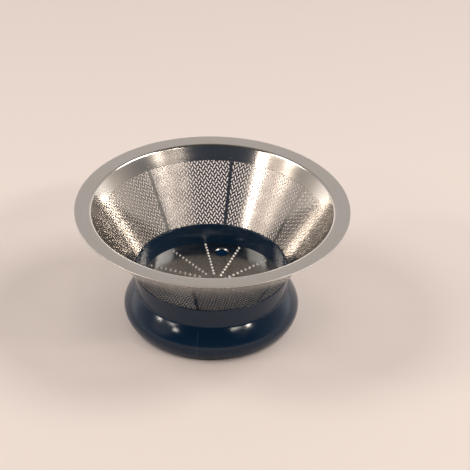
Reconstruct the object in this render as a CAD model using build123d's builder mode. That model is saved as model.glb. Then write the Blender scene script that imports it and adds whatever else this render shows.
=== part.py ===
from build123d import *
from math import atan, cos, degrees, radians
import os

# Filter basket of a centrifugal juicer, in millimetres.
# The origin is the centre of the foot on the table, and the spinning axis is +Z.
# Radii are from that axis. Azimuths run counter-clockwise from +X, seen from above.

# Rim: a flat flange that turns down, over a rounded shoulder, into a conical band
rim_radius = 70.0
rim_top = 64.2
rim_sheet = 0.6
rim_edge_fillet = 0.25
flange_width = 7.3
shoulder_radius = 1.5
band_height = 7.1

# Mesh cone: one thin sheet, lapped behind the band and set in the collar
mesh_sheet = 0.4
lap_height = 4.0
lap_gap = 0.05
strip_count = 8
strip_azimuth = 80.3
strip_width = 1.7

# Gaps in each panel of the mesh: slanted slots in columns, each column leaning the other way
gap_columns = 5
gap_rows = 3
gap_length = 6.2
gap_width = 1.7
gap_slant = 50.0
column_stagger = 0.22
panel_margin = 2.2

# Grater disc, lying on the floor of the moulding
disc_radius = 36.6
disc_top = 19.4
disc_sheet = 0.5
disc_gap = 0.1
row_count = 12
row_azimuth = 9.5
row_offset = 2.4
first_tooth = 7.4
tooth_pitch = 2.7
tooth_length = 1.5
tooth_width = 1.2
tooth_height = 0.9
tooth_tip = 0.3
tooth_root = 0.1
toothless_edge = 1.0

# Holes in the disc, filled by studs of the moulding
hole_count = 3
hole_from_edge = 8.6
hole_azimuth = 79.5
hole_diameter = 6.4
hole_chamfer = 0.3
stud_gap = 0.05
stud_drop = 0.1

# Collar of the base moulding, which grips the foot of the mesh
collar_depth = 9.6
collar_flare = 1.8
collar_wall = 1.6
collar_lip = 0.35
grip_cover = 0.6
grip_depth = 4.5
grip_gap = 0.05

# Outside of the moulding: waist, belly and foot
waist_wall = 2.1
waist_drop = 1.3
waist_fillet = 1.2
belly_bulge = 6.2
belly_height = 7.3
belly_fillet = 4.0
foot_inset = 3.6
upper_arc = 0.7
lower_arc = 1.0
skirt_wall = 2.2

# Inside of the moulding: floor, hub with its drive socket, and gussets
floor_thickness = 2.4
hub_radius = 9.0
hub_bottom = 3.5
socket_diameter = 10.0
socket_depth = 12.0
key_count = 3
key_width = 2.0
key_depth = 1.2
gusset_count = 6
gusset_thickness = 2.0
gusset_reach = 13.0
gusset_height = 8.0

# Heights and radii that follow
disc_seat = disc_top - disc_sheet
floor_bottom = disc_seat - floor_thickness
collar_top = disc_top + collar_depth
waist_height = disc_top - waist_drop
band_bottom = rim_top - band_height
well_radius = disc_radius + disc_gap
collar_inner_top = well_radius + collar_flare
collar_outer_top = collar_inner_top + collar_wall
waist_radius = well_radius + waist_wall
belly_radius = waist_radius + belly_bulge
foot_radius = belly_radius - foot_inset
gusset_end = hub_radius + gusset_reach
hole_circle = disc_radius - hole_from_edge
cone_foot_radius = collar_inner_top + grip_cover
cone_slope = (rim_radius - flange_width - cone_foot_radius) / (rim_top - collar_top)
cone_angle = degrees(atan(cone_slope))


def cone_radius(height, outward=0.0):
    """Radius of the mesh's inner face at a height, moved outward square to the sheet."""
    return cone_foot_radius + (height - collar_top) * cone_slope + outward / cos(radians(cone_angle))


def collar_radius(height, outward=0.0):
    """Radius of the collar's inner face at a height, moved outward."""
    share = (height - disc_seat) / (collar_top - disc_seat)
    return well_radius + share * (collar_inner_top - well_radius) + outward


def skirt_line(inset, top):
    """The skirt's section from a height near the waist down to the foot, moved inward by the inset."""
    SagittaArc((waist_radius - inset, top), (belly_radius - inset, belly_height), upper_arc)
    SagittaArc((belly_radius - inset, belly_height), (foot_radius - inset, 0), lower_arc)


# Rim ring: flange, shoulder and band of one sheet
with BuildPart() as rim_ring:
    flange_bottom = rim_top - rim_sheet
    band_face = -rim_sheet - lap_gap
    band_back = -lap_gap
    with BuildSketch(Plane.XZ) as rim_section:
        with BuildLine():
            Polyline(
                (rim_radius, rim_top),
                (cone_radius(rim_top, band_face), rim_top),
                (cone_radius(band_bottom, band_face), band_bottom),
                (cone_radius(band_bottom, band_back), band_bottom),
                (cone_radius(flange_bottom, band_back), flange_bottom),
                (rim_radius, flange_bottom),
                close=True,
            )
        make_face()
        shoulder_top = rim_section.vertices().sort_by_distance((cone_radius(rim_top, band_face), rim_top))[0]
        fillet(shoulder_top, shoulder_radius)
        shoulder_under = rim_section.vertices().sort_by_distance(
            (cone_radius(flange_bottom, band_back), flange_bottom)
        )[0]
        fillet(shoulder_under, shoulder_radius - rim_sheet)
        edge_corners = rim_section.vertices().group_by(Axis.X)[-1]
        fillet(edge_corners, rim_edge_fillet)
    revolve(axis=Axis.Z)

# Mesh cone: lapped margin, cone and the skirt that the collar grips, with the gaps of its panels
skirt_foot = collar_top - grip_depth
lap_top = band_bottom + lap_height
panel_low = collar_top + panel_margin
panel_high = band_bottom - panel_margin
panel_angle = 360 / strip_count
gap_places = []
for panel in range(strip_count):
    for column in range(gap_columns):
        leans_left = column % 2 == 1
        for row in range(gap_rows):
            row_place = row + 0.5 + (column_stagger if leans_left else -column_stagger)
            height = panel_low + (panel_high - panel_low) * row_place / gap_rows
            strip_angle = degrees(strip_width / cone_radius(height))
            column_angle = (panel_angle - strip_angle) / gap_columns
            azimuth = strip_azimuth + panel * panel_angle + strip_angle / 2 + (column + 0.5) * column_angle
            around = Location((0, 0, 0), (0, 0, azimuth))
            on_cone = Location((cone_radius(height), 0, height), (0, 90 + cone_angle, 0))
            leaning = Location((0, 0, 0), (0, 0, gap_slant if leans_left else -gap_slant))
            gap_places.append(around * on_cone * leaning)

with BuildPart() as mesh_cone:
    with BuildSketch(Plane.XZ):
        with BuildLine():
            Polyline(
                (cone_radius(lap_top), lap_top),
                (cone_radius(collar_top), collar_top),
                (collar_radius(skirt_foot, grip_cover), skirt_foot),
                (collar_radius(skirt_foot, grip_cover) + mesh_sheet / cos(radians(cone_angle)), skirt_foot),
                (cone_radius(collar_top, mesh_sheet), collar_top),
                (cone_radius(lap_top, mesh_sheet), lap_top),
                close=True,
            )
        make_face()
    revolve(axis=Axis.Z)
    with Locations(*gap_places):
        Box(gap_width, gap_length, 4 * mesh_sheet, mode=Mode.SUBTRACT)

# Grater disc: a flat sheet with straight rows of teeth, each row beside the centre
row_length = disc_radius - toothless_edge - first_tooth
teeth_per_row = 1 + int(row_length / tooth_pitch)
tooth_places = []
for row in range(row_count):
    direction = row_azimuth + row * 360 / row_count
    for tooth in range(teeth_per_row):
        along = first_tooth + tooth * tooth_pitch
        around = Location((0, 0, 0), (0, 0, direction))
        standing = Location((along, -row_offset, disc_top - tooth_root))
        tooth_places.append(around * standing)

with BuildPart() as grater_disc:
    with BuildSketch(Plane.XY.offset(disc_seat)):
        Circle(disc_radius)
        with PolarLocations(hole_circle, hole_count, start_angle=hole_azimuth):
            Circle(hole_diameter / 2, mode=Mode.SUBTRACT)
    extrude(amount=disc_sheet)
    hole_rims = grater_disc.edges().filter_by(GeomType.CIRCLE).group_by(Axis.Z)[-1]
    chamfer(hole_rims.filter_by(lambda edge: edge.radius < hole_diameter), hole_chamfer)
    with Locations(*tooth_places):
        Wedge(
            tooth_width,
            tooth_height + tooth_root,
            tooth_length,
            (tooth_width - tooth_tip) / 2,
            (tooth_length - tooth_tip) / 2,
            (tooth_width + tooth_tip) / 2,
            (tooth_length + tooth_tip) / 2,
            rotation=(90, 0, 0),
            align=(Align.CENTER, Align.MIN, Align.CENTER),
        )

# Base moulding: gussets, collar, floor and skirt in one, then the hub and what is cut from it
with BuildPart() as base_moulding:
    with BuildSketch(Plane.XZ):
        with BuildLine():
            Polyline(
                (0, floor_bottom),
                (gusset_end, floor_bottom),
                (hub_radius, floor_bottom - gusset_height),
                (0, floor_bottom - gusset_height),
                close=True,
            )
        make_face()
    revolve(axis=Axis.Z)
    with BuildSketch(Plane.XY.offset(floor_bottom - gusset_height)):
        with PolarLocations(0, gusset_count):
            Rectangle(gusset_end, gusset_thickness, align=(Align.MIN, Align.CENTER))
    extrude(amount=gusset_height, mode=Mode.INTERSECT)
    with BuildSketch(Plane.XZ) as shell_section:
        with BuildLine():
            Polyline(
                (waist_radius - skirt_wall, floor_bottom),
                (0, floor_bottom),
                (0, disc_seat),
                (well_radius, disc_seat),
                (collar_inner_top, collar_top),
                (collar_outer_top, collar_top),
                (waist_radius, waist_height),
            )
            skirt_line(0, waist_height)
            Line((foot_radius, 0), (foot_radius - skirt_wall, 0))
            skirt_line(skirt_wall, floor_bottom)
        make_face()
        fillet(shell_section.vertices().sort_by_distance((waist_radius, waist_height))[0], waist_fillet)
        fillet(shell_section.vertices().sort_by_distance((belly_radius, belly_height))[0], belly_fillet)
        fillet(shell_section.vertices().group_by(Axis.Y)[-1], collar_lip)
    revolve(axis=Axis.Z)
    with BuildSketch(Plane.XY.offset(hub_bottom)):
        Circle(hub_radius)
    extrude(amount=floor_bottom - hub_bottom)
    with BuildSketch(Plane.XY.offset(hub_bottom)):
        Circle(socket_diameter / 2)
        with PolarLocations(socket_diameter / 2, key_count):
            Rectangle(2 * key_depth, key_width)
    extrude(amount=socket_depth, mode=Mode.SUBTRACT)
    with BuildSketch(Plane.XY.offset(disc_seat)):
        with PolarLocations(hole_circle, hole_count, start_angle=hole_azimuth):
            Circle(hole_diameter / 2 - stud_gap)
    extrude(amount=disc_sheet - stud_drop)
    with BuildSketch(Plane.XZ):
        groove_inside = grip_cover - grip_gap
        groove_outside = grip_cover + mesh_sheet / cos(radians(cone_angle)) + grip_gap
        with BuildLine():
            Polyline(
                (collar_radius(collar_top, groove_inside), collar_top),
                (collar_radius(skirt_foot, groove_inside), skirt_foot - grip_gap),
                (collar_radius(skirt_foot, groove_outside), skirt_foot - grip_gap),
                (collar_radius(collar_top, groove_outside), collar_top),
                close=True,
            )
        make_face()
    revolve(axis=Axis.Z, mode=Mode.SUBTRACT)

rim_ring.part.label = "rim_ring"
mesh_cone.part.label = "mesh_cone"
grater_disc.part.label = "grater_disc"
base_moulding.part.label = "base_moulding"

os.makedirs("parts", exist_ok=True)
export_step(rim_ring.part, "parts/rim_ring.step")
export_step(mesh_cone.part, "parts/mesh_cone.step")
export_step(grater_disc.part, "parts/grater_disc.step")
export_step(base_moulding.part, "parts/base_moulding.step")
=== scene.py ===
from math import asin, atan, atan2, cos, hypot, pi, radians, sin

import bmesh
import bpy
from mathutils import Matrix, Vector
from mathutils.geometry import interpolate_bezier


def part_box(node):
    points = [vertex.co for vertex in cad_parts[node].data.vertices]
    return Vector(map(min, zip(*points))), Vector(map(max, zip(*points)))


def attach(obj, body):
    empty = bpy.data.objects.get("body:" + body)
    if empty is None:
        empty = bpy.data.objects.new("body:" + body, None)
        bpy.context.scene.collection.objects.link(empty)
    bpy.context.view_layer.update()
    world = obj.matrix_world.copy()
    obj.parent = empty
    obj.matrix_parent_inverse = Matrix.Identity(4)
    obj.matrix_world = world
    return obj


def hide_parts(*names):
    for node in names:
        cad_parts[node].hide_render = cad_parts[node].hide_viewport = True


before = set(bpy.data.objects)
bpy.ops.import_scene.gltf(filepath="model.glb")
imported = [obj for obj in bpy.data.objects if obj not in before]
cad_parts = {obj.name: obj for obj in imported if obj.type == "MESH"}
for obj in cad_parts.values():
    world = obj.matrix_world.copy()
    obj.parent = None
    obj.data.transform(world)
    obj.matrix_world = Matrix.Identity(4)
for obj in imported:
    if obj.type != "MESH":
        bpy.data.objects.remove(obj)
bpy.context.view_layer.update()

# Base moulding: one glossy blue-black plastic moulding. Its collar is moulded round the foot of the mesh,
# its floor carries the grater disc, with a stud for each of the disc's holes, and the hub below takes the
# drive spindle. Its mould parts in two, which leaves a faint ridge down the skirt in front and behind. A
# painted highlight, a lighter stripe in the plastic's colour, stands in for the light that ridge catches.
MM = 0.001
TURN_STEPS = 288
same_point = 0.001 * MM
on_wall = 0.01 * MM

disc_sheet = 0.5 * MM
disc_gap = 0.1 * MM
mesh_sheet = 0.4 * MM
flange_width = 7.3 * MM

collar_flare = 1.8 * MM
collar_wall = 1.6 * MM
collar_lip = 0.3 * MM
lip_wave = 0.07 * MM
lip_wave_depth = 0.6 * collar_lip
lip_waves = ((23, 1, 0), (41, 0.6, 1))  # how many go round, their share of the height, and their shift
grip_cover = 0.6 * MM
grip_gap = 0.05 * MM
waist_wall = 2.1 * MM
waist_drop = 1.3 * MM
waist_round = 0.9 * MM
waist_pull = Vector((2.6, -2.9)) * MM
belly_height = 7.3 * MM
belly_pull_up = Vector((0, 3.6)) * MM
belly_pull_down = Vector((0, -2.9)) * MM
foot_inset = 3.6 * MM
foot_round = 0.4 * MM
foot_pull = Vector((1.9, 1.1)) * MM
upper_points = 14
lower_points = 12
skirt_wall = 2.2 * MM
mould_line_azimuth = radians(261)
mould_line_rise = 0.12 * MM
# The mould line's painted highlight: its width, how far below the waist it ends, and how long it takes to
# fade
painted_highlight_width = 0.8 * MM
painted_highlight_drop = 2 * MM
painted_highlight_fade = 1.5 * MM

floor_thickness = 2.4 * MM
hub_radius = 9 * MM
hub_bottom = 3.5 * MM
hub_round = 0.5 * MM
hub_root_round = 0.8 * MM
socket_radius = 5 * MM
socket_depth = 12 * MM
key_count = 3
key_width = 2 * MM
key_depth = 1.2 * MM
gusset_count = 6
gusset_thickness = 2 * MM
gusset_reach = 13 * MM
gusset_height = 8 * MM
gusset_toe = 0.5 * MM
sunk_in_hub = 0.5 * MM
sunk_in_floor = 0.2 * MM
stud_count = 3
stud_from_edge = 8.6 * MM
stud_azimuth = radians(79.5)
stud_radius = 3.15 * MM
stud_drop = 0.3 * MM
stud_root = 0.4 * MM
stud_round = 0.15 * MM

plastic_colour = (0.0025, 0.0165, 0.043, 1)
# Lighter blue of the painted highlight along the mould line, in place of the light its ridge catches
painted_line_highlight_colour = (0.016, 0.038, 0.072, 1)

disc_low, disc_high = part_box("grater_disc")
mesh_low, mesh_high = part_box("mesh_cone")
rim_low, rim_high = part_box("rim_ring")
base_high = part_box("base_moulding")[1]
disc_radius = disc_high.x
disc_seat = disc_low.z
disc_top = disc_seat + disc_sheet
well_radius = disc_radius + disc_gap
collar_top = base_high.z
collar_inner = well_radius + collar_flare
collar_outer = collar_inner + collar_wall
waist_radius = well_radius + waist_wall
waist_height = disc_top - waist_drop
belly_radius = base_high.x
foot_radius = belly_radius - foot_inset
floor_bottom = disc_seat - floor_thickness
key_half_angle = key_width / socket_radius / 2
gusset_end = hub_radius + gusset_reach
stud_circle = disc_radius - stud_from_edge
stud_height = disc_sheet - stud_drop + stud_root
grip_foot = mesh_low.z
cone_foot = collar_inner + grip_cover
cone_slope = (rim_high.x - flange_width - cone_foot) / (rim_high.z - collar_top)
cone_lean = atan(cone_slope)


def turned(section):
    """A section of (radius, height) points, closed or ending on the spinning axis, turned about it."""
    bm = bmesh.new()
    corners = [bm.verts.new((radius, 0, height)) for radius, height in section]
    sides = [bm.edges.new((a, b)) for a, b in zip(corners, corners[1:])]
    bmesh.ops.spin(bm, geom=corners + sides, cent=(0, 0, 0), axis=(0, 0, 1), dvec=(0, 0, 0),
                   angle=2 * pi, steps=TURN_STEPS, use_merge=True, use_duplicate=False)
    bmesh.ops.remove_doubles(bm, verts=bm.verts, dist=same_point)
    bmesh.ops.recalc_face_normals(bm, faces=bm.faces)
    return bm


def round_ring(bm, radius, height, width, segments):
    """Rounds the ring-shaped edge that lies at a radius and a height."""
    near = 0.002 * MM

    def on_ring(vert):
        return abs(hypot(vert.co.x, vert.co.y) - radius) < near and abs(vert.co.z - height) < near

    ring = [edge for edge in bm.edges if on_ring(edge.verts[0]) and on_ring(edge.verts[1])]
    bmesh.ops.bevel(bm, geom=ring, offset=width, offset_type="OFFSET", affect="EDGES",
                    segments=segments, profile=0.5, material=-1, clamp_overlap=True)


def collar_radius(height, outward):
    """Radius on the collar's inner face at a height, moved outward."""
    share = (height - disc_seat) / (collar_top - disc_seat)
    return well_radius + share * (collar_inner - well_radius) + outward


def skirt_curve(top, inset):
    """Points of the skirt's section, from near the waist down over the belly to the foot."""
    waist = Vector((waist_radius - inset, top))
    belly = Vector((belly_radius - inset, belly_height))
    foot = Vector((foot_radius - inset, 0))
    upper = interpolate_bezier(waist, waist + waist_pull, belly + belly_pull_up, belly, upper_points)
    lower = interpolate_bezier(belly, belly + belly_pull_down, foot + foot_pull, foot, lower_points)
    return [tuple(point) for point in upper + lower[1:]]


groove_inside = grip_cover - grip_gap
groove_outside = grip_cover + mesh_sheet / cos(cone_lean) + grip_gap
groove_foot = grip_foot - grip_gap
base_section = [
    (0, hub_bottom + socket_depth),
    (socket_radius, hub_bottom + socket_depth),
    (socket_radius, hub_bottom),
    (hub_radius, hub_bottom),
    (hub_radius, floor_bottom),
]
base_section += skirt_curve(floor_bottom, skirt_wall)
base_section += reversed(skirt_curve(waist_height, 0))
base_section += [
    (collar_outer, collar_top),
    (collar_radius(collar_top, groove_outside), collar_top),
    (collar_radius(grip_foot, groove_outside), groove_foot),
    (collar_radius(grip_foot, groove_inside), groove_foot),
    (collar_radius(collar_top, groove_inside), collar_top),
    (collar_inner, collar_top),
    (well_radius, disc_seat),
    (0, disc_seat),
]
base = turned(base_section)
round_ring(base, collar_outer, collar_top, collar_lip, segments=4)
round_ring(base, collar_inner, collar_top, collar_lip, segments=4)
round_ring(base, waist_radius, waist_height, waist_round, segments=5)
round_ring(base, foot_radius, 0, foot_round, segments=3)
round_ring(base, foot_radius - skirt_wall, 0, foot_round, segments=3)
round_ring(base, hub_radius, hub_bottom, hub_round, segments=3)
round_ring(base, hub_radius, floor_bottom, hub_root_round, segments=3)

# The socket's keyways, the mould line's ridge and the slightly uneven lip of the collar
for vert in base.verts:
    radius = hypot(vert.co.x, vert.co.y)
    azimuth = atan2(vert.co.y, vert.co.x)
    if abs(radius - socket_radius) < on_wall:
        key_turn = (azimuth + pi / key_count) % (2 * pi / key_count) - pi / key_count
        if abs(key_turn) < key_half_angle:
            vert.co.xy *= (socket_radius + key_depth) / radius
    on_skirt = radius > waist_radius - skirt_wall / 2 and vert.co.z < waist_height
    if on_skirt and abs(sin(azimuth - mould_line_azimuth)) < pi / TURN_STEPS:
        vert.co.xy *= 1 + mould_line_rise / radius
    if vert.co.z > collar_top - lip_wave_depth and radius < collar_inner + collar_lip:
        wave = sum(share * sin(count * azimuth + shift) for count, share, shift in lip_waves)
        vert.co.z = min(vert.co.z + lip_wave * wave, collar_top)

# The gussets that slope from the hub's foot up to the floor, and the studs
for index in range(gusset_count):
    turn = Matrix.Rotation(2 * pi * index / gusset_count, 4, "Z")
    reach = gusset_end - hub_radius + sunk_in_hub
    middle = Vector((gusset_end - reach / 2, 0, floor_bottom - gusset_height / 2 + sunk_in_floor))
    size = Matrix.Diagonal((reach, gusset_thickness, gusset_height, 1))
    gusset = bmesh.ops.create_cube(base, size=1, matrix=turn @ Matrix.Translation(middle) @ size)
    for vert in gusset["verts"]:
        if vert.co.z < middle.z and vert.co.xy.length > middle.x:
            vert.co.xy *= (hub_radius + gusset_toe) / vert.co.xy.length
for index in range(stud_count):
    turn = Matrix.Rotation(stud_azimuth + 2 * pi * index / stud_count, 4, "Z")
    middle = Vector((stud_circle, 0, disc_top - stud_drop - stud_height / 2))
    stud = bmesh.ops.create_cone(base, cap_ends=True, segments=48, radius1=stud_radius, radius2=stud_radius,
                                 depth=stud_height, matrix=turn @ Matrix.Translation(middle))
    top_edges = dict.fromkeys(edge for vert in stud["verts"] for edge in vert.link_edges
                              if all(end.co.z > middle.z for end in edge.verts))
    bmesh.ops.bevel(base, geom=list(top_edges), offset=stud_round, affect="EDGES", segments=2, profile=0.5,
                    material=-1)


def new_material(name):
    """A material with its node tree, its shader and its Object coordinates."""
    material = bpy.data.materials.new(name)
    material.use_nodes = True
    tree = material.node_tree
    shader = tree.nodes["Principled BSDF"]
    place = tree.nodes.new("ShaderNodeTexCoord").outputs["Object"]
    return material, tree, shader, place


def noise(tree, place, scale, detail, stretch=(1, 1, 1)):
    """A noise from 0 to 1 on a stretched copy of the coordinates."""
    mapping = tree.nodes.new("ShaderNodeMapping")
    mapping.inputs["Scale"].default_value = stretch
    tree.links.new(place, mapping.inputs["Vector"])
    texture = tree.nodes.new("ShaderNodeTexNoise")
    texture.inputs["Scale"].default_value = scale
    texture.inputs["Detail"].default_value = detail
    tree.links.new(mapping.outputs["Vector"], texture.inputs["Vector"])
    return texture.outputs["Fac"]


def spread(tree, value, low, high, socket):
    """Maps the span where most of a noise lies onto a range, and links it to a socket."""
    noise_low, noise_high = 0.3, 0.7
    ranged = tree.nodes.new("ShaderNodeMapRange")
    ranged.inputs["From Min"].default_value = noise_low
    ranged.inputs["From Max"].default_value = noise_high
    ranged.inputs["To Min"].default_value = low
    ranged.inputs["To Max"].default_value = high
    tree.links.new(value, ranged.inputs["Value"])
    tree.links.new(ranged.outputs["Result"], socket)


def bump(tree, shader, height, depth, strength):
    """Bump on a shader from a height value; depth is in metres."""
    node = tree.nodes.new("ShaderNodeBump")
    node.inputs["Strength"].default_value = strength
    node.inputs["Distance"].default_value = depth
    tree.links.new(height, node.inputs["Height"])
    tree.links.new(node.outputs["Normal"], shader.inputs["Normal"])


def fade_out(tree, value, start, end):
    """A share that is 1 while a value is below its start, and falls to 0 at its end."""
    fade = tree.nodes.new("ShaderNodeMapRange")
    fade.inputs["From Min"].default_value = start
    fade.inputs["From Max"].default_value = end
    fade.inputs["To Min"].default_value = 1
    fade.inputs["To Max"].default_value = 0
    tree.links.new(value, fade.inputs["Value"])
    return fade.outputs["Result"]


def finish_piece(bm, name, materials, node):
    """Makes the shaded object of a bmesh, rides it on the body and lets it stand for its CAD node."""
    sharp_angle = radians(35)
    mesh = bpy.data.meshes.new(name)
    bm.to_mesh(mesh)
    bm.free()
    mesh.shade_smooth()
    mesh.set_sharp_from_angle(angle=sharp_angle)
    for material in materials:
        mesh.materials.append(material)
    piece = bpy.data.objects.new(name, mesh)
    bpy.context.scene.collection.objects.link(piece)
    piece.modifiers.new("even_faces", "WEIGHTED_NORMAL").keep_sharp = True
    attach(piece, "root")
    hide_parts(node)


black_plastic, tree, shader, place = new_material("black_plastic")
shader.inputs["IOR"].default_value = 1.46
shader.inputs["Specular Tint"].default_value = (0.9, 0.96, 1.0, 1)
# Painted highlight: a narrow lighter stripe down the skirt along the mould line, fading out below the waist,
# stands in for the light its ridge catches
beside_line = tree.nodes.new("ShaderNodeVectorMath")
beside_line.operation = "DOT_PRODUCT"
beside_line.inputs[1].default_value = (-sin(mould_line_azimuth), cos(mould_line_azimuth), 0)
tree.links.new(place, beside_line.inputs[0])
from_line = tree.nodes.new("ShaderNodeMath")
from_line.operation = "ABSOLUTE"
tree.links.new(beside_line.outputs["Value"], from_line.inputs[0])
on_line = fade_out(tree, from_line.outputs["Value"], painted_highlight_width / 4, painted_highlight_width / 2)
height_split = tree.nodes.new("ShaderNodeSeparateXYZ")
tree.links.new(place, height_split.inputs["Vector"])
painted_highlight_top = waist_height - painted_highlight_drop
below_waist = fade_out(tree, height_split.outputs["Z"], painted_highlight_top - painted_highlight_fade, painted_highlight_top)
painted_highlight_mask = tree.nodes.new("ShaderNodeMath")
painted_highlight_mask.operation = "MULTIPLY"
tree.links.new(on_line, painted_highlight_mask.inputs[0])
tree.links.new(below_waist, painted_highlight_mask.inputs[1])
colour_with_painted_highlight = tree.nodes.new("ShaderNodeMix")
colour_with_painted_highlight.data_type = "RGBA"
colour_with_painted_highlight.inputs["A"].default_value = plastic_colour
colour_with_painted_highlight.inputs["B"].default_value = painted_line_highlight_colour
tree.links.new(painted_highlight_mask.outputs["Value"], colour_with_painted_highlight.inputs["Factor"])
tree.links.new(colour_with_painted_highlight.outputs["Result"], shader.inputs["Base Color"])
gloss = noise(tree, place, scale=260, detail=4)
spread(tree, gloss, low=0.1, high=0.15, socket=shader.inputs["Roughness"])
bump(tree, shader, noise(tree, place, scale=420, detail=2), depth=0.05 * MM, strength=0.05)
finish_piece(base, "base_moulding_gloss", [black_plastic], "base_moulding")

# Grater disc: a bright stainless sheet laid on the floor of the moulding and held by the three studs
# in its dished holes. Twelve straight rows of small teeth are punched up from it, each row passing to
# one side of the centre.
row_count = 12
row_azimuth = radians(9.5)
row_offset = 2.4 * MM
first_tooth = 7.4 * MM
tooth_pitch = 2.7 * MM
teeth_per_row = 11
tooth_height = 0.7 * MM
tooth_base = 0.75 * MM
tooth_tip = 0.28 * MM
tooth_lean = 0.22 * MM
tooth_root = 0.08 * MM
dish_radius = 4.1 * MM
dish_steps = [(3.75 * MM, 0.07 * MM), (3.4 * MM, 0.2 * MM), (3.22 * MM, 0.42 * MM)]
sheet_colour = (0.60, 0.575, 0.545, 1)
tooth_colour = (0.90, 0.88, 0.855, 1)


def steel(name, colour, scale, detail, low, high, stretch=(1, 1, 1)):
    """A bare steel whose roughness wanders between a low and a high value."""
    material, tree, shader, place = new_material(name)
    shader.inputs["Metallic"].default_value = 1
    shader.inputs["Base Color"].default_value = colour
    spread(tree, noise(tree, place, scale, detail, stretch), low, high, shader.inputs["Roughness"])
    return material


disc = bmesh.new()
bmesh.ops.create_circle(disc, cap_ends=False, segments=TURN_STEPS, radius=disc_radius,
                        matrix=Matrix.Translation((0, 0, disc_top)))
dishes = []
for index in range(stud_count):
    azimuth = stud_azimuth + 2 * pi * index / stud_count
    centre = Vector((stud_circle * cos(azimuth), stud_circle * sin(azimuth), disc_top))
    ring = bmesh.ops.create_circle(disc, cap_ends=False, segments=64, radius=dish_radius,
                                   matrix=Matrix.Translation(centre))
    dishes.append((centre, list(dict.fromkeys(edge for vert in ring["verts"] for edge in vert.link_edges))))
bmesh.ops.triangle_fill(disc, use_beauty=True, use_dissolve=False, edges=disc.edges[:], normal=(0, 0, 1))
for centre, ring in dishes:
    for radius, drop in dish_steps:
        wall = bmesh.ops.extrude_edge_only(disc, edges=ring)["geom"]
        ring = [item for item in wall if isinstance(item, bmesh.types.BMEdge) and item.is_boundary]
        for vert in {v for e in ring for v in e.verts}:
            away = (vert.co - centre).xy.normalized() * radius
            vert.co = (centre.x + away.x, centre.y + away.y, disc_top - drop)
bmesh.ops.recalc_face_normals(disc, faces=disc.faces)
if sum(face.normal.z * face.calc_area() for face in disc.faces) < 0:
    bmesh.ops.reverse_faces(disc, faces=disc.faces)
bmesh.ops.solidify(disc, geom=disc.faces[:], thickness=disc_sheet)

# The holes are pressed flat below, where they meet the floor
for vert in disc.verts:
    vert.co.z = max(vert.co.z, disc_seat)

# The teeth, all leaning the same way round the disc
for row in range(row_count):
    turn = Matrix.Rotation(row_azimuth + 2 * pi * row / row_count, 4, "Z")
    for index in range(teeth_per_row):
        along_row = first_tooth + index * tooth_pitch
        middle = Vector((along_row, -row_offset, disc_top + tooth_height / 2 - tooth_root))
        tooth = bmesh.ops.create_cone(disc, cap_ends=True, segments=8, radius1=tooth_base, radius2=tooth_tip,
                                      depth=tooth_height, matrix=turn @ Matrix.Translation(middle))
        forward = turn @ Vector((0, tooth_lean, 0))
        top = [vert for vert in tooth["verts"] if vert.co.z > middle.z]
        bmesh.ops.translate(disc, verts=top, vec=forward)
        for face in {f for v in tooth["verts"] for f in v.link_faces}:
            face.material_index = 1

disc_steel = steel("disc_steel", sheet_colour, scale=60, detail=4, low=0.17, high=0.23, stretch=(1, 9, 1))
tooth_steel = steel("tooth_steel", tooth_colour, scale=1500, detail=2, low=0.42, high=0.55)
finish_piece(disc, "grater_disc_teeth", [disc_steel, tooth_steel], "grater_disc")

# Mesh cone: one thin stainless sheet, etched with small slanted slots and rolled to a cone. Eight
# blank strips part its panels. The slots stand in columns that lean left and right in turn. The upper
# margin is welded behind the band, and the foot is moulded into the collar.
panel_count = 8
panel_turn = 2 * pi / panel_count
strip_azimuth = radians(80.3)
strip_width = 1.7 * MM
column_pitch = 1.48 * MM
slot_pitch = 2.51 * MM
slot_length = 2.3 * MM
slot_width = 0.6 * MM
slot_lean = radians(60)
slot_room = 0.2 * MM
hidden_slots = 0.4 * MM
band_bottom = rim_low.z
lap_top = mesh_high.z
field_top = band_bottom + hidden_slots
apex_height = collar_top - cone_foot / cone_slope
near = 0.003 * MM
edge_facing = 0.5
etched_colour = (0.62, 0.595, 0.565, 1)
strip_colour = (0.60, 0.58, 0.555, 1)
slot_wall_colour = (0.3, 0.29, 0.28, 1)
panel = bmesh.new()

# One cell of the etched pattern: a slot, and round it an outline that gives way to the slots beside it
half_wide, half_high = column_pitch / 2, slot_pitch / 2
upper_half = [
    (half_wide, 0),
    (half_wide + slot_room, half_high / 2),
    (half_wide, half_high),
    (-half_wide, half_high),
    (-half_wide + slot_room, half_high / 2),
]
slot_end = (slot_length - slot_width) / 2
end_turns = [slot_lean + radians(turn) for turn in (-90, -45, 0, 45, 90)]
slot_middle = slot_end * Vector((cos(slot_lean), sin(slot_lean), 0))
ring_points = 2 * len(upper_half)
outer_ring = bmesh.ops.create_circle(panel, cap_ends=False, segments=ring_points, radius=1)["verts"]
inner_ring = bmesh.ops.create_circle(panel, cap_ends=False, segments=ring_points, radius=0.5)["verts"]
bmesh.ops.bridge_loops(panel, edges=panel.edges[:])
for ring in (outer_ring, inner_ring):
    ring.sort(key=lambda vert: atan2(vert.co.y, vert.co.x) % (2 * pi))
for index in range(ring_points):
    side = 1 if index < len(upper_half) else -1
    step = index % len(upper_half)
    round_end = slot_width / 2 * Vector((cos(end_turns[step]), sin(end_turns[step]), 0))
    outer_ring[index].co = side * Vector((*upper_half[step], 0))
    inner_ring[index].co = side * (slot_middle + round_end)
cell = panel.verts[:] + panel.edges[:] + panel.faces[:]

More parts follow.
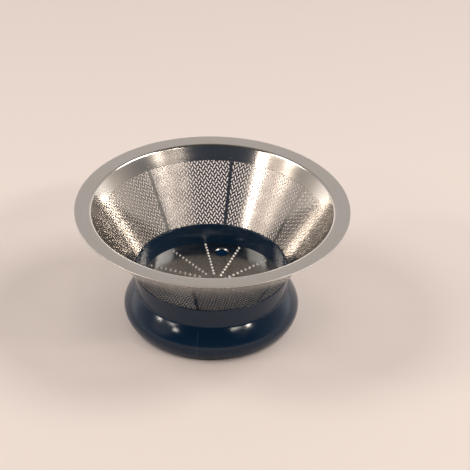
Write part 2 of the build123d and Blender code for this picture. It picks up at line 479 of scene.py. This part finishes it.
# The cell is repeated over one flat panel, a little past its edges
flat_turn = panel_turn * sin(cone_lean)
low_slant = (collar_top - apex_height) / cos(cone_lean)
high_slant = (field_top - apex_height) / cos(cone_lean)
half_columns = int(high_slant * sin(flat_turn / 2) / column_pitch) + 2
rows = int((high_slant - low_slant * cos(flat_turn / 2)) / slot_pitch) + 3
for column in range(-half_columns, half_columns + 1):
    lean = -1 if column % 2 else 1
    for row in range(-1, rows):
        centre = Vector((column * column_pitch, low_slant * cos(flat_turn / 2), 0))
        centre.y += (row + 0.5 * (column % 2)) * slot_pitch
        past_strip = centre.length * sin(abs(atan2(centre.x, centre.y)) - flat_turn / 2)
        if past_strip < column_pitch and low_slant - slot_pitch < centre.length < high_slant + slot_pitch:
            copy = bmesh.ops.duplicate(panel, geom=cell)["geom"]
            copied = [item for item in copy if isinstance(item, bmesh.types.BMVert)]
            bmesh.ops.scale(panel, verts=copied, vec=(lean, 1, 1))
            bmesh.ops.translate(panel, verts=copied, vec=centre)
bmesh.ops.delete(panel, geom=cell, context="VERTS")
bmesh.ops.remove_doubles(panel, verts=panel.verts, dist=near)

# Rolled onto the cone, and cut straight along the strips, the collar and the band
for vert in panel.verts:
    reach = vert.co.length
    turn = atan2(vert.co.x, vert.co.y) / sin(cone_lean)
    radius = reach * sin(cone_lean)
    vert.co = (radius * cos(turn), radius * sin(turn), apex_height + reach * cos(cone_lean))
cuts = [
    (Vector((0, 0, collar_top)), Vector((0, 0, -1))),
    (Vector((0, 0, field_top)), Vector((0, 0, 1))),
]
for side in (1, -1):
    outward = Vector((-sin(panel_turn / 2), side * cos(panel_turn / 2), 0))
    cuts.append((-outward * strip_width / 2, outward))
for spot, outward in cuts:
    bmesh.ops.bisect_plane(panel, geom=panel.verts[:] + panel.edges[:] + panel.faces[:], dist=near / 2,
                           plane_co=spot, plane_no=outward, clear_outer=True)
for height in (collar_top, field_top):
    radius = (height - apex_height) * cone_slope
    turn = panel_turn / 2 - asin(strip_width / 2 / radius)
    for side in (1, -1):
        panel.verts.new((radius * cos(turn), side * radius * sin(turn), height))
bmesh.ops.remove_doubles(panel, verts=panel.verts, dist=near)

# A slot that a cut opened is closed again by an edge along the cut
for spot, outward in cuts:
    on_cut = [vert for vert in panel.verts if abs((vert.co - spot).dot(outward)) < near]
    if outward.z:
        on_cut.sort(key=lambda vert: vert.co.y / vert.co.x)
    else:
        on_cut.sort(key=lambda vert: vert.co.z)
    for pair in zip(on_cut, on_cut[1:]):
        if not panel.edges.get(pair):
            panel.edges.new(pair)

# Copied round, and joined by the blank strips
first_panel = panel.verts[:] + panel.edges[:] + panel.faces[:]
bmesh.ops.rotate(panel, verts=panel.verts, cent=(0, 0, 0),
                 matrix=Matrix.Rotation(strip_azimuth + panel_turn / 2, 3, "Z"))
for index in range(1, panel_count):
    copy = bmesh.ops.duplicate(panel, geom=first_panel)["geom"]
    copied = [item for item in copy if isinstance(item, bmesh.types.BMVert)]
    bmesh.ops.rotate(panel, verts=copied, cent=(0, 0, 0), matrix=Matrix.Rotation(index * panel_turn, 3, "Z"))
for index in range(panel_count):
    azimuth = strip_azimuth + index * panel_turn
    along = Vector((cos(azimuth), sin(azimuth), 0))
    across = Vector((-sin(azimuth), cos(azimuth), 0))
    strip_sides = [edge for edge in panel.edges
                   if all(abs(abs(vert.co.dot(across)) - strip_width / 2) < near and vert.co.dot(along) > 0
                          for vert in edge.verts)]
    strip = bmesh.ops.bridge_loops(panel, edges=strip_sides)
    for face in strip["faces"]:
        face.material_index = 1

# The blank margins behind the band and in the collar, and the sheet's thickness
for cut_height, height, radius in (
    (field_top, lap_top, (lap_top - apex_height) * cone_slope),
    (collar_top, grip_foot, collar_radius(grip_foot, grip_cover)),
):
    cut_edges = [edge for edge in panel.edges
                 if all(abs(vert.co.z - cut_height) < near for vert in edge.verts)]
    for item in bmesh.ops.extrude_edge_only(panel, edges=cut_edges)["geom"]:
        if isinstance(item, bmesh.types.BMVert):
            item.co.xy *= radius / item.co.xy.length
            item.co.z = height
        if isinstance(item, bmesh.types.BMFace):
            item.material_index = 1
inner_face = panel.verts[:] + panel.edges[:] + panel.faces[:]
for item in bmesh.ops.extrude_face_region(panel, geom=inner_face, use_keep_orig=True)["geom"]:
    if isinstance(item, bmesh.types.BMVert):
        item.co.z = max(item.co.z - mesh_sheet * sin(cone_lean), grip_foot)
        item.co.xy *= 1 + mesh_sheet * cos(cone_lean) / item.co.xy.length
bmesh.ops.recalc_face_normals(panel, faces=panel.faces)

# The walls of the slots and the sheet's edges, which the etching leaves dull
for face in panel.faces:
    sheet_normal = face.calc_center_median()
    sheet_normal.z = -sheet_normal.xy.length * cone_slope
    if abs(face.normal.dot(sheet_normal.normalized())) < edge_facing:
        face.material_index = 2

mesh_steels = [
    steel("etched_steel", etched_colour, scale=200, detail=2, low=0.16, high=0.2),
    steel("strip_steel", strip_colour, scale=500, detail=3, low=0.13, high=0.18),
    steel("slot_wall_steel", slot_wall_colour, scale=900, detail=2, low=0.4, high=0.55),
]
finish_piece(panel, "mesh_cone_slots", mesh_steels, "mesh_cone")

# Rim ring: one pressed stainless sheet. Its flat flange is brushed round and round, its shoulder and
# its conical band are polished, and sixteen spot welds hold the mesh to the band's back.
rim_radius = rim_high.x
rim_top = rim_high.z
rim_sheet = 0.6 * MM
shoulder_round = 0.9 * MM
under_shoulder_round = 0.5 * MM
rim_edge_round = 0.2 * MM
band_foot_round = 0.3 * MM
brushed_edge = 1 * MM
flat_facing = 0.98
lap_gap = 0.05 * MM
weld_count = 16
weld_radius = 0.55 * MM
weld_rise = 0.1 * MM
weld_above_foot = 1.6 * MM
weld_height = band_bottom + weld_above_foot
brushed_colour = (0.60, 0.58, 0.56, 1)
polished_colour = (0.63, 0.605, 0.575, 1)


def cone_radius(height, outward):
    """Radius on the mesh's inner face at a height, moved outward square to the sheet."""
    return cone_foot + (height - collar_top) * cone_slope + outward / cos(cone_lean)


band_face = -rim_sheet - lap_gap
shoulder = cone_radius(rim_top, band_face)
under_shoulder = cone_radius(rim_top - rim_sheet, -lap_gap)
rim_section = [
    (rim_radius, rim_top),
    (shoulder, rim_top),
    (cone_radius(band_bottom, band_face), band_bottom),
    (cone_radius(band_bottom, -lap_gap), band_bottom),
    (under_shoulder, rim_top - rim_sheet),
    (rim_radius, rim_top - rim_sheet),
    (rim_radius, rim_top),
]
rim = turned(rim_section)
round_ring(rim, shoulder, rim_top, shoulder_round, segments=6)
round_ring(rim, under_shoulder, rim_top - rim_sheet, under_shoulder_round, segments=4)
round_ring(rim, rim_radius, rim_top, rim_edge_round, segments=3)
round_ring(rim, rim_radius, rim_top - rim_sheet, rim_edge_round, segments=3)
round_ring(rim, cone_radius(band_bottom, band_face), band_bottom, band_foot_round, segments=4)
for face in rim.faces:
    flat = abs(face.normal.z) > flat_facing
    at_edge = face.calc_center_median().xy.length > rim_radius - brushed_edge
    face.material_index = 0 if flat or at_edge else 1
for index in range(weld_count):
    turn = Matrix.Rotation(strip_azimuth + 2 * pi * index / weld_count, 4, "Z")
    place_on_band = Matrix.Translation((cone_radius(weld_height, band_face), 0, weld_height))
    face_in = Matrix.Rotation(-pi / 2 - cone_lean, 4, "Y")
    flattened = Matrix.Diagonal((1, 1, weld_rise / weld_radius, 1))
    weld = bmesh.ops.create_uvsphere(rim, u_segments=12, v_segments=6, radius=weld_radius,
                                     matrix=turn @ place_on_band @ face_in @ flattened)
    for face in {f for v in weld["verts"] for f in v.link_faces}:
        face.material_index = 1

brushed_steel, tree, shader, place = new_material("brushed_steel")
shader.inputs["Metallic"].default_value = 1
shader.inputs["Base Color"].default_value = brushed_colour
split = tree.nodes.new("ShaderNodeSeparateXYZ")
tree.links.new(place, split.inputs["Vector"])
flat_place = tree.nodes.new("ShaderNodeCombineXYZ")
tree.links.new(split.outputs["X"], flat_place.inputs["X"])
tree.links.new(split.outputs["Y"], flat_place.inputs["Y"])
from_axis = tree.nodes.new("ShaderNodeVectorMath")
from_axis.operation = "LENGTH"
tree.links.new(flat_place.outputs["Vector"], from_axis.inputs[0])
around = tree.nodes.new("ShaderNodeCombineXYZ")
tree.links.new(from_axis.outputs["Value"], around.inputs["X"])
rings = around.outputs["Vector"]
brushing = noise(tree, rings, scale=1100, detail=3)
spread(tree, brushing, low=0.22, high=0.44, socket=shader.inputs["Roughness"])
bump(tree, shader, noise(tree, rings, scale=5200, detail=2), depth=0.008 * MM, strength=0.3)
polished_steel = steel("polished_steel", polished_colour, scale=40, detail=2, low=0.13, high=0.17,
                       stretch=(1, 1, 6))
finish_piece(rim, "rim_ring_sheet", [brushed_steel, polished_steel], "rim_ring")

# Floor: a plain table under the basket, covered with a smooth pale cloth. It is wide enough to fill the
# view from every side.
floor_half_width = 3
cloth_colour = (0.80, 0.735, 0.715, 1)
floor = bmesh.new()
bmesh.ops.create_grid(floor, x_segments=1, y_segments=1, size=floor_half_width)
floor_mesh = bpy.data.meshes.new("floor")
floor.to_mesh(floor_mesh)
floor.free()
floor_object = bpy.data.objects.new("floor", floor_mesh)
bpy.context.scene.collection.objects.link(floor_object)
pale_cloth, tree, shader, place = new_material("pale_cloth")
shader.inputs["Base Color"].default_value = cloth_colour
shader.inputs["Roughness"].default_value = 0.9
shader.inputs["Specular IOR Level"].default_value = 0.1
bump(tree, shader, noise(tree, place, scale=900, detail=3), depth=0.2 * MM, strength=0.06)
floor_mesh.materials.append(pale_cloth)

# Light: two wide soft lamps high on the left and the right, and six small ones lower down, in a room that
# is pale behind the basket and dark behind the camera, with a soft glow on each side in front.
lamp_distance = 1.3
wide_colour = (1.0, 0.94, 0.87)
small_colour = (1.0, 0.87, 0.75)
left_glow = (0.52, 0.41, 0.32)
right_glow = (0.2, 0.155, 0.12)


def soft_lamp(name, azimuth, elevation, width, height, power, colour):
    """An area lamp that looks at the basket; angles in degrees, sizes in metres and power in watts."""
    data = bpy.data.lights.new(name, "AREA")
    data.shape = "ELLIPSE"
    data.size = width
    data.size_y = height
    data.energy = power
    data.color = colour
    lamp = bpy.data.objects.new(name, data)
    az, el = radians(azimuth), radians(elevation)
    place_of_lamp = lamp_distance * Vector((cos(el) * cos(az), cos(el) * sin(az), sin(el)))
    lamp.matrix_world = (Matrix.Translation(place_of_lamp)
                         @ (-place_of_lamp).to_track_quat("-Z", "Y").to_matrix().to_4x4())
    bpy.context.scene.collection.objects.link(lamp)


soft_lamp("lamp_left", 178, 50, 0.6, 0.6, 5.2, wide_colour)
soft_lamp("lamp_right", 8, 50, 0.6, 0.6, 6.4, wide_colour)
soft_lamp("lamp_front_left", 219, 34, 0.14, 0.09, 0.75, small_colour)
soft_lamp("lamp_far_left", 189, 32, 0.18, 0.09, 1.6, small_colour)
soft_lamp("lamp_front_right", 329, 39, 0.16, 0.09, 2.2, small_colour)
soft_lamp("lamp_far_right", 341, 41, 0.16, 0.1, 1.2, small_colour)
soft_lamp("lamp_high_left", 203, 38, 0.46, 0.1, 1.2, small_colour)
soft_lamp("lamp_high_right", 311, 43, 0.36, 0.08, 1.3, small_colour)

world = bpy.data.worlds.new("room")
bpy.context.scene.world = world
world.use_nodes = True
tree = world.node_tree
direction = tree.nodes.new("ShaderNodeTexCoord").outputs["Generated"]
room_split = tree.nodes.new("ShaderNodeSeparateXYZ")
tree.links.new(direction, room_split.inputs["Vector"])
room_turn = tree.nodes.new("ShaderNodeMapRange")
room_turn.inputs["From Min"].default_value = -1
room_turn.inputs["From Max"].default_value = 1
tree.links.new(room_split.outputs["Y"], room_turn.inputs["Value"])


def room_ramp(value, stops):
    """A colour ramp over a direction's value, from (place, colour) stops."""
    ramp = tree.nodes.new("ShaderNodeValToRGB")
    tree.links.new(value, ramp.inputs["Fac"])
    while len(ramp.color_ramp.elements) < len(stops):
        ramp.color_ramp.elements.new(0.5)
    for element, (spot, colour) in zip(ramp.color_ramp.elements, stops):
        element.position = spot
        element.color = (*colour, 1)
    return ramp.outputs["Color"]


front_to_back = room_ramp(room_turn.outputs["Result"], [
    (0.2, (0.11, 0.135, 0.18)),
    (0.45, (0.5, 0.46, 0.43)),
    (0.64, (0.85, 0.755, 0.67)),
    (0.74, (1.36, 1.25, 1.17)),
])
low_to_high = room_ramp(room_split.outputs["Z"], [
    (0.08, (1, 1, 1)),
    (0.25, (0.75, 0.75, 0.75)),
    (0.55, (0.42, 0.42, 0.42)),
    (0.95, (0.18, 0.18, 0.18)),
])
room_colour = tree.nodes.new("ShaderNodeMix")
room_colour.data_type = "RGBA"
room_colour.blend_type = "MULTIPLY"
room_colour.inputs["Factor"].default_value = 1
tree.links.new(front_to_back, room_colour.inputs["A"])
tree.links.new(low_to_high, room_colour.inputs["B"])


def add_glow(colour, azimuth, elevation, reach, core, light):
    """Adds a round glow to the room's colour, full in its core and gone at its reach; all in degrees."""
    az, el = radians(azimuth), radians(elevation)
    closeness = tree.nodes.new("ShaderNodeVectorMath")
    closeness.operation = "DOT_PRODUCT"
    closeness.inputs[1].default_value = (cos(el) * cos(az), cos(el) * sin(az), sin(el))
    tree.links.new(direction, closeness.inputs[0])
    fade = tree.nodes.new("ShaderNodeMapRange")
    fade.interpolation_type = "SMOOTHSTEP"
    fade.inputs["From Min"].default_value = cos(radians(reach))
    fade.inputs["From Max"].default_value = cos(radians(core))
    tree.links.new(closeness.outputs["Value"], fade.inputs["Value"])
    glow = tree.nodes.new("ShaderNodeMix")
    glow.data_type = "RGBA"
    glow.blend_type = "ADD"
    glow.inputs["B"].default_value = (*light, 1)
    tree.links.new(fade.outputs["Result"], glow.inputs["Factor"])
    tree.links.new(colour, glow.inputs["A"])
    return glow.outputs["Result"]


room_light = room_colour.outputs["Result"]
room_light = add_glow(room_light, azimuth=200, elevation=24, reach=19, core=3, light=left_glow)
room_light = add_glow(room_light, azimuth=314, elevation=31, reach=9, core=2, light=right_glow)
tree.links.new(room_light, tree.nodes["Background"].inputs["Color"])

# Camera: a long lens above the front of the table, as the photo was taken, turned a little on its axis.
# It stands in front of the spinning axis and aims beside it, so that the basket lies off the middle.
camera_elevation = radians(34.12)
camera_distance = 1.5
camera_roll = radians(1.01)
looks_at_axis = Vector((0, 0, 30 * MM))
view_right = 11.75 * MM
view_up = 15.35 * MM
image_width_px = 470
focal_px = 2924.7
sensor_width_mm = 36
view_limit = 10
towards_camera = Vector((0, -cos(camera_elevation), sin(camera_elevation)))
upward = Vector((0, sin(camera_elevation), cos(camera_elevation)))
camera_data = bpy.data.cameras.new("camera")
camera_data.sensor_width = sensor_width_mm
camera_data.lens = sensor_width_mm * focal_px / image_width_px
camera_data.clip_end = view_limit
camera = bpy.data.objects.new("camera", camera_data)
stand = looks_at_axis + towards_camera * camera_distance
aim = looks_at_axis + Vector((view_right, 0, 0)) + upward * view_up
camera.matrix_world = (Matrix.Translation(stand)
                       @ (aim - stand).to_track_quat("-Z", "Y").to_matrix().to_4x4()
                       @ Matrix.Rotation(camera_roll, 4, "Z"))
bpy.context.scene.collection.objects.link(camera)
bpy.context.scene.camera = camera
bpy.context.scene.view_settings.view_transform = "Standard"
